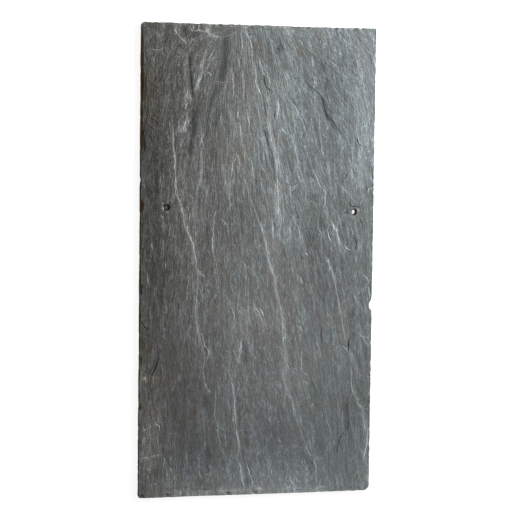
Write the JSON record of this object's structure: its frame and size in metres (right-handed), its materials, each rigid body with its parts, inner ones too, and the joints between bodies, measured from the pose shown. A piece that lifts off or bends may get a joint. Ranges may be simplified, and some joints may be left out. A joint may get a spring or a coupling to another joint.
{
  "type": "slate roof tile",
  "caption": "Rectangular natural slate roof tile with a riven face, hand-dressed bevelled edges and two punched nail holes near mid-length.",
  "frame": {"origin": "centre of the tile's bounding box, on the bed plane that it lies on", "axes": "+X across the tile, +Y along it from the tail to the head (up the roof slope), +Z from the bed to the riven face"},
  "size_m": [0.3029, 0.598, 0.0083],
  "materials": {
    "slate": "riven, dry, matt with a slight sheen"
  },
  "bodies": {
    "root": {"slate_tile": "slate"}
  },
  "joints": []
}
